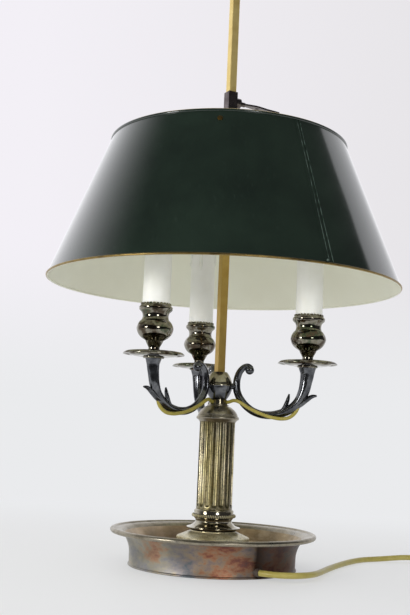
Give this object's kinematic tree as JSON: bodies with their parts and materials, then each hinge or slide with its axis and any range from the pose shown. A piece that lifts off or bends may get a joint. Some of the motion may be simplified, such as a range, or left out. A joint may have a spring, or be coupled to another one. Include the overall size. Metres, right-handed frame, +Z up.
{
  "type": "bouillotte lamp",
  "caption": "Table lamp with a dish base, fluted column, scroll arms that carry candle sleeves, a square rod with a sliding metal shade held by a thumb key, and a cord with switch and plug.",
  "frame": {"origin": "centre of the base on the table, on the rod's axis", "axes": "+Z up along the rod; -Y towards the viewer (front); +X to the right, where the cord goes"},
  "size_m": [0.5022, 0.352, 0.667],
  "materials": {
    "dish_plate": "worn and tarnished silver plate",
    "worn_plate": "dark tarnished silver plate",
    "column_plate": "silver plate worn down to brass",
    "polished_brass": "polished and lacquered",
    "shade_paint": "dark green paint outside, off-white inside",
    "candle_plastic": "waxy ivory",
    "yellow_flex": "gold-coloured sheath",
    "cord_sheath": "gold-coloured sheath",
    "switch_plastic": "moulded, gold-coloured",
    "holder_plastic": "moulded, black",
    "steel": "plain",
    "plug_metal": "nickel plated",
    "felt": "green felt",
    "iron": "rough cast",
    "rubber": "matte"
  },
  "bodies": {
    "base": {"arm_back": "worn_plate", "arm_lead_back": "yellow_flex", "arm_lead_left": "yellow_flex", "arm_lead_right": "yellow_flex", "arm_left": "worn_plate", "arm_right": "worn_plate", "base_dish": "dish_plate", "base_nut": "steel", "base_pad": "felt", "base_washer": "steel", "base_weight": "iron", "candle_sleeve_back": "candle_plastic", "candle_sleeve_left": "candle_plastic", "candle_sleeve_right": "candle_plastic", "centre_tie": "polished_brass", "column_cap": "column_plate", "column_foot": "column_plate", "column_ring": "column_plate", "cord_bush": "rubber", "cord_coil": "cord_sheath", "cord_to_coil": "cord_sheath", "cord_to_plug": "cord_sheath", "cord_to_switch": "cord_sheath", "cup_back": "worn_plate", "cup_left": "worn_plate", "cup_right": "worn_plate", "cup_tube_back": "steel", "cup_tube_left": "steel", "cup_tube_right": "steel", "finial": "polished_brass", "fluted_column": "column_plate", "hub_lower": "worn_plate", "hub_upper": "worn_plate", "lampholder_back": "holder_plastic", "lampholder_left": "holder_plastic", "lampholder_right": "holder_plastic", "mains_lead": "cord_sheath", "neck_ring": "worn_plate", "pan_back": "worn_plate", "pan_left": "worn_plate", "pan_right": "worn_plate", "plug_body": "switch_plastic", "plug_pins": "plug_metal", "rod": "polished_brass", "switch_base": "switch_plastic", "switch_cover": "switch_plastic", "terminal_block": "holder_plastic"},
    "shade": {"shade_shell": "shade_paint", "shade_bottom_wire": "polished_brass", "shade_top_wire": "polished_brass", "spider": "worn_plate", "spider_rivets": "polished_brass", "collar": "worn_plate"},
    "key": {"thumb_key": "worn_plate"},
    "rocker": {"switch_rocker": "switch_plastic"}
  },
  "joints": [
    {"name": "shade_height", "type": "slide", "parent": "base", "child": "shade", "axis": [0, 0, 1], "range_m": [-0.055, 0.16]},
    {"name": "key_turn", "type": "hinge", "parent": "shade", "child": "key", "pos_m": [0, 0, 0.4652], "axis": [0.866, 0.5, 0], "range_deg": [0, 270]},
    {"name": "switch_rock", "type": "hinge", "parent": "base", "child": "rocker", "pos_m": [0.248, 0.104, 0.01], "axis": [0, 1, 0], "range_deg": [0, 16]}
  ]
}
